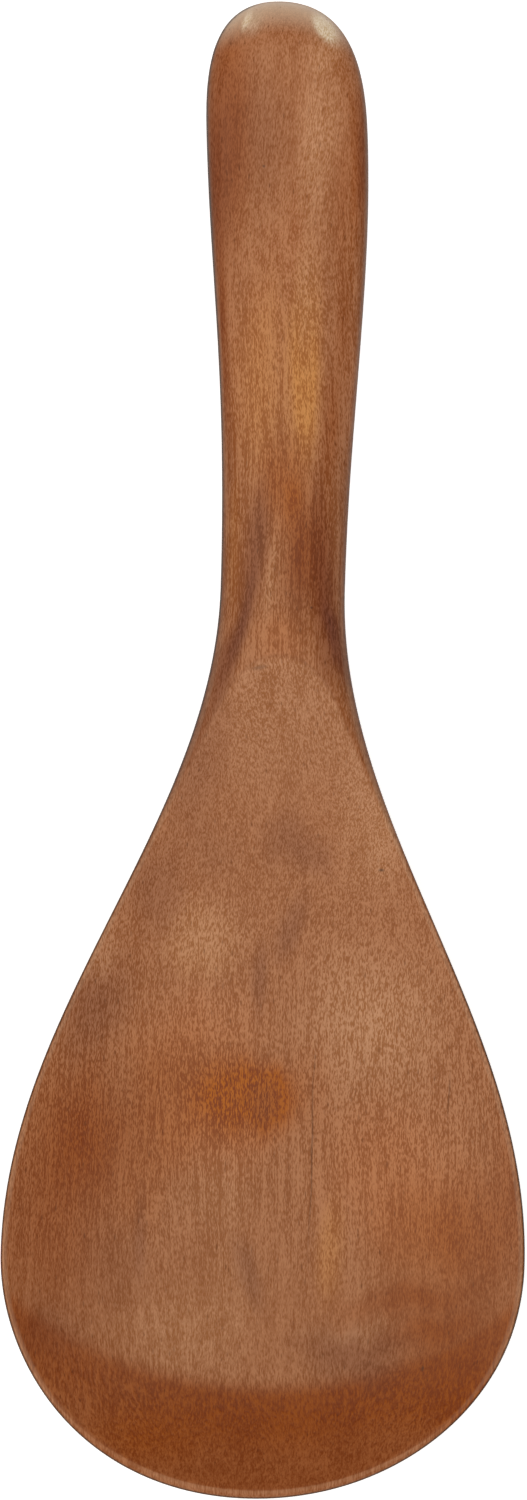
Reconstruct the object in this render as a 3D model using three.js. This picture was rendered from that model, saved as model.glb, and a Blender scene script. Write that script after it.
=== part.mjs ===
import * as THREE from "three";
import { LoftGeometry } from "three/addons/geometries/LoftGeometry.js";

// Wooden serving spoon, carved from one piece: a broad, shallow bowl that runs out into a rounded handle.
// Millimetres. +Y runs from the bowl's tip to the handle's end, +Z up out of the bowl. Stations along the
// spoon are measured from the tip, or from the handle's end where the name says so.

// Outline from above: its widest and narrowest places, and how far each arc holds its heading there.
const length = 200;
const bowlWidth = 70;
const bowlWidestAt = 32;
const neckWidth = 16.6;
const neckAt = 121.6;
const palmWidth = 21.6;
const palmFromEnd = 18.8;
const tipReach = 20.6;
const cheekReach = 17.1;
const flankReach = 32.9;
const throatReach = 31.9;
const neckReach = 26;
const palmReach = 18.6;
const cornerReach = 6.6;
const endReach = 10.8;

// Carved by eye, the tip and the handle's end both lean a little to one side.
const tipLean = -1.1;
const tipLeanUpTo = 23;
const handleLean = -2.5;
const handleLeanFrom = 140;

// Bowl: level about its heart, then a ramp that runs out on the neck. The walls rise to a thin, round lip.
const bowlHeartAt = 38;
const floorHeight = 5;
const rampFrom = 50;
const rampCurve = 1.8;
const runOutAt = 112.5;
const runOutBlend = 1.2;
const bowlDepth = 5.5;
const shallowsFrom = 40;
const tipLift = 3;
const tipLiftUpTo = 45;
const wallCurve = 2.4;
const lipRadius = 1.15;
const lipBlend = 0.1;

// Handle: a rounded bar with an arched underside, which the bowl's lip fills out into.
const neckTop = 16.2;
const gripAt = 150;
const gripTop = 14.6;
const palmTop = 10.2;
const endTop = 9.4;
const neckUnder = 4.5;
const gripUnder = 3.9;
const palmHeartFromEnd = 9;
const sideBand = 4.6;
const sideFillsFrom = 78;
const sideFullAt = 124;
const squareness = 2.5;

// The two places it rests on, and how much is pared off each to make it flat.
const soleAt = 60;
const solePared = 0.3;
const heelFromEnd = 17;
const heelPared = 0.3;

const { lerp, smoothstep } = THREE.MathUtils;
const palmAt = length - palmFromEnd;
const endAt = length - palmHeartFromEnd;
const arcSteps = 16;

const outline = new THREE.Path()
  .moveTo(0, 0)
  .bezierCurveTo(tipReach, 0, bowlWidth / 2, bowlWidestAt - cheekReach, bowlWidth / 2, bowlWidestAt)
  .bezierCurveTo(
    bowlWidth / 2, bowlWidestAt + flankReach, neckWidth / 2, neckAt - throatReach, neckWidth / 2, neckAt,
  )
  .bezierCurveTo(neckWidth / 2, neckAt + neckReach, palmWidth / 2, palmAt - palmReach, palmWidth / 2, palmAt)
  .bezierCurveTo(palmWidth / 2, palmAt + cornerReach, endReach, length, 0, length)
  .getPoints(arcSteps);

// A smooth height along the spoon through the given stations.
function profile(stations) {
  const spline = new THREE.CubicInterpolant(
    stations.map(([at]) => at),
    stations.map(([, height]) => height),
    1,
  );
  return (at) => spline.evaluate(at)[0];
}

const keel = profile([
  [bowlHeartAt, 0],
  [soleAt, -solePared],
  [neckAt, neckUnder],
  [gripAt, gripUnder],
  [length - heelFromEnd, -heelPared],
  [endAt, 0],
]);

const ridge = profile([
  [rampFrom, neckTop],
  [runOutAt, neckTop],
  [gripAt, gripTop],
  [palmAt, palmTop],
  [endAt, endTop],
]);

function floor(at) {
  const climb = Math.max(at - rampFrom, 0) / (runOutAt - rampFrom);
  return floorHeight + (neckTop - floorHeight) * climb ** rampCurve;
}

// How far the lip stands above the floor, at a station on the outline.
function wall(at) {
  const side = bowlDepth * (1 - smoothstep(at, shallowsFrom, runOutAt));
  return side + tipLift * Math.max(1 - at / tipLiftUpTo, 0) ** 2;
}

// The lower of two heights, rounded over where they cross.
function softMin(a, b, blend) {
  const overlap = Math.max(blend - Math.abs(a - b), 0);
  return Math.min(a, b) - overlap ** 2 / (4 * blend);
}

// The station on the centre line that faces one on the outline. Both ends fan out from a heart.
function inward(at) {
  const fan = (distance, heart) =>
    distance < 2 * heart ? heart + distance ** 2 / (4 * heart) : distance;
  return length - fan(length - fan(at, bowlHeartAt), palmHeartFromEnd);
}

// Half a section, from the middle of the face out round the side and back under to the middle.
function halfSection(edge) {
  const middle = new THREE.Vector2(0, inward(edge.y));
  const span = middle.distanceTo(edge);
  const fill = smoothstep(edge.y, sideFillsFrom, sideFullAt);
  const radius = lerp(lipRadius, sideBand, fill);
  const low = keel(middle.y);
  const high = ridge(middle.y);
  const bottom = floor(middle.y);
  const brim = bottom + wall(edge.y);
  const lipCentre = brim - radius;

  // The underside leaves the lip along its own slope.
  const slope = Math.atan2(2 * (lipCentre - radius - low), span - radius);
  const lastTurn = Math.PI - Math.max(slope, 0);
  const underSpan = span - radius + radius * Math.sin(lastTurn);
  const underBrim = lipCentre + radius * Math.cos(lastTurn);

  const bar = (out, up) => {
    const middleHeight = (high + low) / 2;
    const round = Math.max(1 - (out / span) ** squareness, 0) ** (1 / squareness);
    return middleHeight + (up ? 1 : -1) * ((high - low) / 2) * round;
  };
  const lipArc = (out, up) => {
    const past = Math.max(out - (span - radius), 0);
    return lipCentre + (up ? 1 : -1) * Math.sqrt(Math.max(radius ** 2 - past ** 2, 0));
  };
  const face = (out) => {
    const hollow = bottom + (brim - bottom) * (out / (span - radius)) ** wallCurve;
    const blank = lerp(lipArc(out, true), bar(out, true), fill);
    return softMin(hollow, blank, lerp(lipBlend, runOutBlend, fill));
  };
  const back = (out) => {
    const belly = out < underSpan ? low + (underBrim - low) * (out / underSpan) ** 2 : lipArc(out, false);
    return Math.max(lerp(belly, bar(out, false), fill), 0);
  };
  const at = (out, height) => {
    const plan = middle.clone().lerp(edge, out / span);
    return new THREE.Vector3(plan.x, plan.y, height);
  };

  const shares = [0, 0.14, 0.28, 0.42, 0.56, 0.7, 0.82, 0.92, 1];
  const over = [1 / 3, 2 / 3, 1].map((share) => (span - radius) + radius * Math.sin((share * Math.PI) / 2));
  const under = [1 / 3, 2 / 3].map((share) => (
    (span - radius) + radius * Math.sin(lerp(Math.PI / 2, lastTurn, share))
  ));
  return [
    ...shares.map((share) => share * (span - radius)).concat(over).map((out) => at(out, face(out))),
    ...under.concat(shares.toReversed().map((share) => share * underSpan)).map((out) => at(out, back(out))),
  ];
}

// Sets a point of a half section in place: on its side, leaning with the spoon, about the middle.
function place(point, side) {
  const tip = tipLean * Math.max(1 - point.y / tipLeanUpTo, 0) ** 2;
  const end = handleLean * (Math.max(point.y - handleLeanFrom, 0) / (length - handleLeanFrom)) ** 2;
  return new THREE.Vector3(side * point.x + tip + end, point.y - length / 2, point.z);
}

const halves = outline.map(halfSection);
const rings = halves[0].map((_, ring) => [
  ...halves.map((half) => place(half[ring], -1)),
  ...halves.slice(1, -1).toReversed().map((half) => place(half[ring], 1)),
]);

const wood = new THREE.MeshStandardMaterial({ color: 0x97603f, roughness: 0.45, metalness: 0 });
const spoon = new THREE.Mesh(new LoftGeometry(rings, { closed: true }), wood);
spoon.name = "spoon";

const part = new THREE.Group();
part.name = "serving_spoon";
part.add(spoon);

export default part;
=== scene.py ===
"""Wooden serving spoon: its carved surface, its oiled wood and the studio it is photographed in.

The spoon is one piece of wood, so one piece stands for the one node of the frame. Its sizes are in
millimetres and turn into metres where they reach a mesh, and the studio's are in metres. Stations of the
form run along the spoon from the tip of the bowl, as they do in the part's own source. Places in the wood
count from the middle of the spoon's length, with the tip of the bowl at -100.
"""

import logging
import math
from dataclasses import dataclass
from enum import Enum
from functools import cached_property, reduce

import bmesh
import bpy
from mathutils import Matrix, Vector, noise


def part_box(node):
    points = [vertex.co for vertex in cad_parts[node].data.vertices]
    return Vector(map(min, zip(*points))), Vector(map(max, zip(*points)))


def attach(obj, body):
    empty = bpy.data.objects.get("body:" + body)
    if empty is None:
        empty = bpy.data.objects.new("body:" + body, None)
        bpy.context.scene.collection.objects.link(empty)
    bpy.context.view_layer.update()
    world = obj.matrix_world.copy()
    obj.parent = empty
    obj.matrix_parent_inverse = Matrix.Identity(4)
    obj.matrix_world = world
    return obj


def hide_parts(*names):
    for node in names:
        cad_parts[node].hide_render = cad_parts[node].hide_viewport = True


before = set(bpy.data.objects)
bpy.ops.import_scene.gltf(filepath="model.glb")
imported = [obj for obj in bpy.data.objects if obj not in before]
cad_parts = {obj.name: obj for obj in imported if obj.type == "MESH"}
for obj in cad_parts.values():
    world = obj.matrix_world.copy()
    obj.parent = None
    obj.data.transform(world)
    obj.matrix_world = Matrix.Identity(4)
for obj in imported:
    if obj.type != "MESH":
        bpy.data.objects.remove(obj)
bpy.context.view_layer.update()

MM = 0.001
NODE = "spoon"
SLOT = "oiled_wood"
# What the skin carries for the wood: the distance from the outline and the depth of the hollow's cut.
RIM = "rim"
CUT = "cut"
# The power at which the outer edge of a section is a plain round. Higher ones are squarer.
ROUND = 2.0
# Where the spoon begins and ends along the frame, in millimetres.
ENDS = (-100.0, 100.0)
# Marks lie about this height and reach this far up and down, in millimetres, so that they go right
# through the wood.
MARK_HEIGHT = 8.0
MARK_DEPTH = 30.0
# Marks shorter than this half length, in millimetres, are flecks.
FLECK_LENGTH = 1.0
# Marks slimmer than this half width, in millimetres, or more than this many times as long, are threads.
THREAD_WIDTH = 4.0
THREAD_RATIO = 3.0
# Noise swings about this value.
NOISE_MIDDLE = 0.5
# The full fan of a light, in degrees.
WIDE_OPEN = 180.0

# What a node gives, and what it can be fed with.
Socket = bpy.types.NodeSocket
Feed = Socket | float | tuple[float, ...]

log = logging.getLogger("spoon")


def lerp(start: float, end: float, share: float) -> float:
    """Goes from start to end as share goes from 0 to 1."""
    return start + (end - start) * share


def smoothstep(value: float, low: float, high: float) -> float:
    """Eases from 0 at low to 1 at high."""
    share = min(max((value - low) / (high - low), 0.0), 1.0)
    return share * share * (3.0 - 2.0 * share)


def soft_min(first: float, second: float, blend: float) -> float:
    """The lower of two heights, rounded over where they cross.

    Args:
        first: One height.
        second: The other height.
        blend: How far apart the heights still soften each other.

    Returns:
        The softened lower height.
    """
    overlap = max(blend - abs(first - second), 0.0)
    return min(first, second) - overlap**2 / (4.0 * blend)


@dataclass(frozen=True)
class Profile:
    """A smooth height along the spoon, through a few stations.

    Attributes:
        stations: Pairs of station and height, in order.
    """

    stations: tuple[tuple[float, float], ...]

    def slope(self, index: int) -> float:
        """Slope at a station: the mean of the slopes on its two sides.

        Args:
            index: Which station.

        Returns:
            The rise per millimetre there.
        """
        sides = []
        for left in (index - 1, index):
            if 0 <= left < len(self.stations) - 1:
                (at, height), (next_at, next_height) = self.stations[left], self.stations[left + 1]
                sides.append((next_height - height) / (next_at - at))
        return sum(sides) / len(sides)

    def height(self, at: float) -> float:
        """Height at any station, held level past both ends.

        Args:
            at: The station.

        Returns:
            The height there.
        """
        if at <= self.stations[0][0]:
            return self.stations[0][1]
        for index in range(len(self.stations) - 1):
            (start, low), (end, high) = self.stations[index], self.stations[index + 1]
            if at <= end:
                run = end - start
                u = (at - start) / run
                leaving = (u**3 - 2 * u**2 + u) * self.slope(index)
                arriving = (u**3 - u**2) * self.slope(index + 1)
                return lerp(low, high, u * u * (3 - 2 * u)) + run * (leaving + arriving)
        return self.stations[-1][1]


@dataclass(frozen=True)
class SpoonForm:
    """Every size of the carved form, in millimetres.

    The outline, the hollow, the heights and the flats are those of the part's source. The lip, the line
    where the hollow runs out and the handle's section are finer here. A squareness and a curve are powers.
    """

    # The outline from above.
    length: float
    bowl_width: float
    bowl_widest_at: float = 32.0
    neck_width: float = 16.6
    neck_at: float = 121.6
    palm_width: float = 21.6
    palm_from_end: float = 18.8
    tip_reach: float = 20.6
    cheek_reach: float = 17.1
    flank_reach: float = 32.9
    throat_reach: float = 31.9
    neck_reach: float = 26.0
    palm_reach: float = 18.6
    corner_reach: float = 6.6
    end_reach: float = 10.8
    # How it leans to the side.
    tip_lean: float = -1.1
    tip_lean_up_to: float = 23.0
    handle_lean: float = -2.5
    handle_lean_from: float = 140.0
    # The hollow.
    bowl_heart_at: float = 38.0
    floor_height: float = 5.0
    ramp_from: float = 50.0
    ramp_curve: float = 1.8
    run_out_at: float = 112.5
    run_out_blend: float = 0.6
    bowl_depth: float = 5.5
    shallows_from: float = 40.0
    tip_lift: float = 3.0
    tip_lift_up_to: float = 45.0
    wall_curve: float = 2.4
    # The lip.
    lip_radius: float = 1.15
    lip_reach: float = 0.5
    tip_lip_reach: float = 1.15
    tip_lip_up_to: float = 30.0
    tip_lip_curve: float = 1.5
    lip_squareness: float = 3.0
    lip_blend: float = 0.06
    # The handle.
    neck_top: float = 16.2
    grip_at: float = 150.0
    grip_top: float = 14.6
    palm_top: float = 10.2
    end_top: float = 9.4
    neck_under: float = 4.5
    grip_under: float = 3.9
    palm_heart_from_end: float = 9.0
    side_band: float = 4.6
    side_fills_from: float = 78.0
    side_full_at: float = 124.0
    neck_squareness: float = 2.2
    grip_squareness: float = 2.8
    palm_squareness: float = 4.0
    end_squareness: float = 2.1
    # The flats that it lies on.
    sole_at: float = 60.0
    sole_pared: float = 0.3
    heel_from_end: float = 17.0
    heel_pared: float = 0.3

    @property
    def palm_at(self) -> float:
        """Station of the handle's widest place."""
        return self.length - self.palm_from_end

    @property
    def end_at(self) -> float:
        """Station of the heart that the handle's end fans out from."""
        return self.length - self.palm_heart_from_end

    @cached_property
    def arcs(self) -> list[tuple[Vector, ...]]:
        """The half outline from the tip to the handle's end.

        Returns:
            The four control points of each cubic arc, as half width and station.
        """
        bowl, neck, palm = self.bowl_width / 2, self.neck_width / 2, self.palm_width / 2
        points = [
            (0, 0), (self.tip_reach, 0), (bowl, self.bowl_widest_at - self.cheek_reach),
            (bowl, self.bowl_widest_at), (bowl, self.bowl_widest_at + self.flank_reach),
            (neck, self.neck_at - self.throat_reach),
            (neck, self.neck_at), (neck, self.neck_at + self.neck_reach),
            (palm, self.palm_at - self.palm_reach),
            (palm, self.palm_at), (palm, self.palm_at + self.corner_reach),
            (self.end_reach, self.length),
            (0, self.length),
        ]
        knots = [Vector(point) for point in points]
        return [tuple(knots[start:start + 4]) for start in range(0, len(knots) - 1, 3)]

    @cached_property
    def keel(self) -> Profile:
        """The underside along the middle.

        Returns:
            Its height by the station on the centre line.
        """
        return Profile((
            (self.bowl_heart_at, 0.0),
            (self.sole_at, -self.sole_pared),
            (self.neck_at, self.neck_under),
            (self.grip_at, self.grip_under),
            (self.length - self.heel_from_end, -self.heel_pared),
            (self.end_at, 0.0),
        ))

    @cached_property
    def ridge(self) -> Profile:
        """The handle's top along the middle.

        Returns:
            Its height by the station on the centre line.
        """
        return Profile((
            (self.ramp_from, self.neck_top),
            (self.run_out_at, self.neck_top),
            (self.grip_at, self.grip_top),
            (self.palm_at, self.palm_top),
            (self.end_at, self.end_top),
        ))

    @cached_property
    def squareness(self) -> Profile:
        """How square the handle's section is.

        Returns:
            The power of its round by the station on the outline.
        """
        return Profile((
            (self.neck_at, self.neck_squareness),
            (self.grip_at, self.grip_squareness),
            (self.palm_at, self.palm_squareness),
            (self.length, self.end_squareness),
        ))

    def edge(self, arc: int, share: float) -> Vector:
        """A point of the half outline.

        Args:
            arc: Which cubic arc, counted from the tip.
            share: How far along it, from 0 to 1.

        Returns:
            Half width and station.
        """
        a, b, c, d = self.arcs[arc]
        rest = 1.0 - share
        return a * rest**3 + b * 3 * rest**2 * share + c * 3 * rest * share**2 + d * share**3

    def floor(self, at: float) -> float:
        """Height of the hollow along the middle."""
        climb = max(at - self.ramp_from, 0.0) / (self.run_out_at - self.ramp_from)
        return self.floor_height + (self.neck_top - self.floor_height) * climb**self.ramp_curve

    def wall(self, at: float) -> float:
        """How far the lip stands above the floor, at a station on the outline."""
        side = self.bowl_depth * (1.0 - smoothstep(at, self.shallows_from, self.run_out_at))
        return side + self.tip_lift * max(1.0 - at / self.tip_lift_up_to, 0.0) ** 2

    def lip(self, at: float) -> float:
        """How far in from the outline the lip's round begins, at a station on the outline."""
        share = max(1.0 - at / self.tip_lip_up_to, 0.0) ** self.tip_lip_curve
        return lerp(self.lip_reach, self.tip_lip_reach, share)

    def inward(self, at: float) -> float:
        """The station on the centre line that faces one on the outline.

        Args:
            at: A station on the outline.

        Returns:
            The facing station. Both ends fan out from a heart.
        """
        def fan(distance: float, heart: float) -> float:
            """Distance from an end of the spoon, kept outside that end's heart."""
            return heart + distance**2 / (4 * heart) if distance < 2 * heart else distance

        return self.length - fan(self.length - fan(at, self.bowl_heart_at), self.palm_heart_from_end)

    def lean(self, at: float) -> float:
        """How far the spoon leans to the side.

        Args:
            at: The station.

        Returns:
            The lean there, in millimetres to the right.
        """
        tip = self.tip_lean * max(1.0 - at / self.tip_lean_up_to, 0.0) ** 2
        run = self.length - self.handle_lean_from
        return tip + self.handle_lean * (max(at - self.handle_lean_from, 0.0) / run) ** 2


class Section:
    """Half a section of the spoon, from the centre line out to one point of the outline."""

    def __init__(self, form: SpoonForm, edge: Vector) -> None:
        """Works out the heights of the section.

        Args:
            form: The carved form.
            edge: Half width and station of the outline's point.
        """
        self.form = form
        self.edge = edge
        self.middle = Vector((0.0, form.inward(edge.y)))
        self.span = (edge - self.middle).length
        self.fill = smoothstep(edge.y, form.side_fills_from, form.side_full_at)
        self.radius = lerp(form.lip_radius, form.side_band, self.fill)
        self.reach = lerp(form.lip(edge.y), form.side_band, self.fill)
        self.squareness = form.squareness.height(edge.y)
        self.low = form.keel.height(self.middle.y)
        self.high = form.ridge.height(self.middle.y)
        self.bottom = form.floor(self.middle.y)
        self.brim = self.bottom + form.wall(edge.y)
        self.lip_centre = self.brim - self.radius
        slope = 2 * (self.lip_centre - self.radius - self.low) / (self.span - self.reach)
        self.last_turn = math.pi - max(math.atan(slope * self.reach / self.radius), 0.0)
        self.under_span = self.span - self.reach + self.reach * math.sin(self.last_turn)
        self.under_brim = self.lip_centre + self.radius * math.cos(self.last_turn)

    def bar(self, out: float, up: int) -> float:
        """Height of the handle's rounded bar.

        Args:
            out: Distance from the centre line, along the section.
            up: 1 for its upper side, -1 for its underside.

        Returns:
            The height there.
        """
        power = self.squareness
        rounding = max(1.0 - (out / self.span) ** power, 0.0) ** (1.0 / power)
        return (self.high + self.low) / 2 + up * (self.high - self.low) / 2 * rounding

    def lip_arc(self, out: float, up: int) -> float:
        """Height of the round lip.

        Args:
            out: Distance from the centre line, along the section.
            up: 1 for its upper side, -1 for its underside.

        Returns:
            The height there.
        """
        power = self.form.lip_squareness if up > 0 else ROUND
        past = max(out - (self.span - self.reach), 0.0) / self.reach
        return self.lip_centre + up * self.radius * max(1.0 - past**power, 0.0) ** (1.0 / power)

    def hollow(self, out: float) -> float:
        """Height of the hollow, carried on past its lip."""
        share = out / (self.span - self.reach)
        return self.bottom + (self.brim - self.bottom) * share**self.form.wall_curve

    def blank(self, out: float) -> float:
        """Height of the upper side before the hollow is cut."""
        return lerp(self.lip_arc(out, 1), self.bar(out, 1), self.fill)

    def face(self, out: float) -> float:
        """Height of the upper side: the hollow, or the blank where that is lower."""
        blend = lerp(self.form.lip_blend, self.form.run_out_blend, self.fill)
        return soft_min(self.hollow(out), self.blank(out), blend)

    def back(self, out: float) -> float:
        """Height of the underside, pared flat where it meets the table.

        Args:
            out: Distance from the centre line, along the section.

        Returns:
            The height there.
        """
        if out < self.under_span:
            belly = self.low + (self.under_brim - self.low) * (out / self.under_span) ** 2
        else:
            belly = self.lip_arc(out, -1)
        return max(lerp(belly, self.bar(out, -1), self.fill), 0.0)

    def place(self, out: float, height: float, side: int) -> Vector:
        """Sets a point of the section in place.

        Args:
            out: Distance from the centre line, along the section.
            height: Height above the table.
            side: 1 for the right half of the spoon, -1 for the left.

        Returns:
            The point in the frame, in metres.
        """
        plan = self.middle.lerp(self.edge, out / self.span)
        x = side * plan.x + self.form.lean(plan.y)
        return Vector((x, plan.y - self.form.length / 2, height)) * MM


@dataclass
class Spoon:
    """The carved spoon: one closed skin from the face's middle, round the lip, to the back's middle.

    Attributes:
        form: Sizes of the carved form.
        arc_rays: Sections along each arc of the half outline, from the tip to the handle's end.
        face_rings: Steps from the middle of the face to the lip.
        lip_rings: Steps over the lip and steps under it.
        back_rings: Steps from the lip to the middle of the back.
        crowding: How much closer the steps lie towards the lip.
        carved_waves: Depth in millimetres of the unevenness that the carver's tool leaves.
        wave_size: Its size in millimetres across and along the spoon.
        wave_start: Where in the noise the face's waves lie. The back's lie as far to the other side.
        weld: Points closer than this, in millimetres, become one.
        rounding: How often each face is divided to round the skin.
    """

    form: SpoonForm
    arc_rays: tuple[int, ...] = (40, 64, 36, 30)
    face_rings: int = 24
    lip_rings: tuple[int, int] = (7, 5)
    back_rings: int = 16
    crowding: float = 1.5
    carved_waves: float = 0.05
    wave_size: tuple[float, float] = (13.0, 34.0)
    wave_start: float = 5.0
    weld: float = 0.002
    rounding: int = 1

    def edges(self) -> list[Vector]:
        """The points of the half outline that sections run to.

        Returns:
            Half widths and stations, from the tip to the handle's end.
        """
        points = [
            self.form.edge(arc, step / rays)
            for arc, rays in enumerate(self.arc_rays)
            for step in range(rays)
        ]
        return points + [self.form.edge(len(self.arc_rays) - 1, 1.0)]

    def crowded(self, steps: int) -> list[float]:
        """Shares from 0 to 1 that lie closer together towards 1."""
        return [1 - (1 - step / steps) ** self.crowding for step in range(steps + 1)]

    def outline_of(self, section: Section) -> list[tuple[float, float]]:
        """The section's own outline, as distances out and heights.

        Args:
            section: The half section.

        Returns:
            One pair for each ring of the skin, from the middle of the face to the middle of the back.
        """
        flat = section.span - section.reach
        over, under = self.lip_rings
        outs = [flat * share for share in self.crowded(self.face_rings)]
        outs += [flat + section.reach * math.sin(step / over * math.pi / 2) for step in range(1, over + 1)]
        face = [(out, section.face(out)) for out in outs]
        turns = [lerp(math.pi / 2, section.last_turn, step / under) for step in range(1, under)]
        outs = [flat + section.reach * math.sin(turn) for turn in turns]
        outs += [section.under_span * share for share in reversed(self.crowded(self.back_rings))]
        return face + [(out, section.back(out)) for out in outs]

    def unevenness(self, point: Vector, up: float) -> float:
        """The carver's unevenness at a point, in metres.

        Args:
            point: A point of the skin, in metres.
            up: 1 on the face and -1 on the back, which have waves of their own.

        Returns:
            How far the skin stands proud there.
        """
        across, along = self.wave_size
        place = Vector((point.x / MM / across, point.y / MM / along, self.wave_start * up))
        return self.carved_waves * MM * noise.noise(place)

    def skin(self) -> bmesh.types.BMesh:
        """Wraps a flat grid round the spoon: a ray of it for each half section, a ring for each step.

        Returns:
            The closed skin, with the rim's distance and the hollow's cut at each point.
        """
        edges = self.edges()
        sections = [Section(self.form, edge) for edge in edges]
        outlines = [self.outline_of(section) for section in sections]
        rays, rings = 2 * (len(edges) - 1), len(outlines[0]) - 1
        face_rings = self.face_rings + self.lip_rings[0]
        skin = bmesh.new()
        rim = skin.verts.layers.float.new(RIM)
        cut = skin.verts.layers.float.new(CUT)
        bmesh.ops.create_grid(skin, x_segments=rays, y_segments=rings, size=1.0)
        for vert in skin.verts:
            ray = round((vert.co.x + 1.0) / 2.0 * rays)
            ring = round((vert.co.y + 1.0) / 2.0 * rings)
            side = 1 if ray <= rays // 2 else -1
            index = ray if side > 0 else rays - ray
            section = sections[index]
            out, height = outlines[index][ring]
            up = 1.0 if ring <= face_rings else -1.0
            vert.co = section.place(out, height, side)
            vert[rim] = up * (section.span - out)
            vert[cut] = section.blank(out) - section.hollow(out)
            if height > 0.0:
                vert.co.z += up * self.unevenness(vert.co, up)
        bmesh.ops.remove_doubles(skin, verts=skin.verts, dist=self.weld * MM)
        bmesh.ops.recalc_face_normals(skin, faces=skin.faces)
        for face in skin.faces:
            face.smooth = True
        return skin

    def build(self) -> bpy.types.Object:
        """Models the spoon.

        Returns:
            The finished object, at the origin.
        """
        mesh = bpy.data.meshes.new("carved_spoon")
        skin = self.skin()
        skin.to_mesh(mesh)
        skin.free()
        spoon = bpy.data.objects.new("carved_spoon", mesh)
        bpy.context.scene.collection.objects.link(spoon)
        rounding = spoon.modifiers.new("rounding", "SUBSURF")
        rounding.levels = rounding.render_levels = self.rounding
        return spoon

    def dress(self, spoon: bpy.types.Object, finish: "OiledWood") -> None:
        """Gives the spoon its wood and sets it in the frame.

        Args:
            spoon: The object that build made.
            finish: The wood.
        """
        spoon.data.materials.append(finish.material())
        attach(spoon, "root")
        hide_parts(NODE)
        log.info("%s: %d faces before rounding", spoon.name, len(spoon.data.polygons))


@dataclass(frozen=True)
class Fade:
    """A number that eases from one value to another between two places.

    Attributes:
        low: Where it begins to change.
        high: Where it has changed.
        start: The number up to low.
        end: The number from high on.
    """

    low: float
    high: float
    start: float = 0.0
    end: float = 1.0


# Where the upper side begins, in millimetres from the outline.
OVER_THE_EDGE = Fade(-0.05, 0.05)


class NodeBench:
    """Lays out the nodes of a material or of the studio's surroundings."""

    def __init__(self, owner: bpy.types.Material | bpy.types.World) -> None:
        """Starts an empty node tree.

        Args:
            owner: What the nodes are for.
        """
        owner.use_nodes = True
        self.tree = owner.node_tree
        self.tree.nodes.clear()

    def add(self, kind: str, inputs: dict[str | int, Feed], **settings: str) -> bpy.types.Node:
        """Adds a node and wires it up.

        Args:
            kind: The node's type.
            inputs: Values or sockets by the input's name or place.
            settings: Properties of the node.

        Returns:
            The node.
        """
        node = self.tree.nodes.new(kind)
        for name, value in settings.items():
            setattr(node, name, value)
        for key, value in inputs.items():
            if isinstance(value, Socket):
                self.tree.links.new(value, node.inputs[key])
            else:
                node.inputs[key].default_value = value
        return node

    def vector(self, operation: str, first: Feed, second: Feed) -> Socket:
        """A vector sum, product or the like of two inputs."""
        return self.add("ShaderNodeVectorMath", {0: first, 1: second}, operation=operation).outputs["Vector"]

    def length(self, vector: Feed) -> Socket:
        """How long a vector is."""
        return self.add("ShaderNodeVectorMath", {0: vector}, operation="LENGTH").outputs["Value"]

    def math(self, operation: str, first: Feed, second: Feed) -> Socket:
        """A sum, product or the like of two numbers."""
        return self.add("ShaderNodeMath", {0: first, 1: second}, operation=operation).outputs[0]

    def absolute(self, number: Feed) -> Socket:
        """A number without its sign."""
        return self.add("ShaderNodeMath", {0: number}, operation="ABSOLUTE").outputs[0]

    def product(self, *numbers: Feed) -> Socket:
        """The product of two numbers or more."""
        return reduce(lambda first, second: self.math("MULTIPLY", first, second), numbers)

    def fade(self, value: Feed, fade: Fade) -> Socket:
        """Eases a number as the value goes from the fade's low to its high.

        Args:
            value: The place that the fade is read at.
            fade: The places and the numbers.

        Returns:
            A socket with the number.
        """
        inputs = {
            "Value": value,
            "From Min": fade.low,
            "From Max": fade.high,
            "To Min": fade.start,
            "To Max": fade.end,
        }
        return self.add("ShaderNodeMapRange", inputs, interpolation_type="SMOOTHSTEP").outputs["Result"]

    def stations(self, along: Feed, stops: tuple[tuple[float, float], ...]) -> Socket:
        """A number that changes along the spoon.

        Args:
            along: Place along the spoon.
            stops: Pairs of place and number, in order, each number from 0 to 1.

        Returns:
            A socket with the number.
        """
        first, last = ENDS
        share = self.add("ShaderNodeMapRange", {"Value": along, "From Min": first, "From Max": last})
        ramp = self.add("ShaderNodeValToRGB", {"Fac": share.outputs["Result"]})
        elements = ramp.color_ramp.elements
        while len(elements) < len(stops):
            elements.new(0.5)
        for element, (at, number) in zip(elements, stops):
            element.position = (at - first) / (last - first)
            element.color = (number, number, number, 1.0)
        ramp.color_ramp.interpolation = "EASE"
        return ramp.outputs["Color"]

    def mix(self, share: Feed, first: Feed, second: Feed, blend: str = "MIX") -> Socket:
        """A mix of two colours, which are the node's inputs 6 and 7."""
        inputs = {0: share, 6: first, 7: second}
        return self.add("ShaderNodeMix", inputs, data_type="RGBA", blend_type=blend).outputs[2]

    def between(self, share: Feed, first: Feed, second: Feed) -> Socket:
        """A mix of two numbers, which are the node's inputs 2 and 3."""
        inputs = {0: share, 2: first, 3: second}
        return self.add("ShaderNodeMix", inputs, data_type="FLOAT").outputs[0]

    def noise(self, place: Feed, detail: float, roughness: float = 0.5) -> bpy.types.Node:
        """Cloudy noise with features one unit across."""
        inputs = {"Vector": place, "Scale": 1.0, "Detail": detail, "Roughness": roughness}
        return self.add("ShaderNodeTexNoise", inputs)

    def attribute(self, name: str) -> Socket:
        """A number that the skin carries."""
        return self.add("ShaderNodeAttribute", {}, attribute_name=name).outputs["Fac"]


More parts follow.
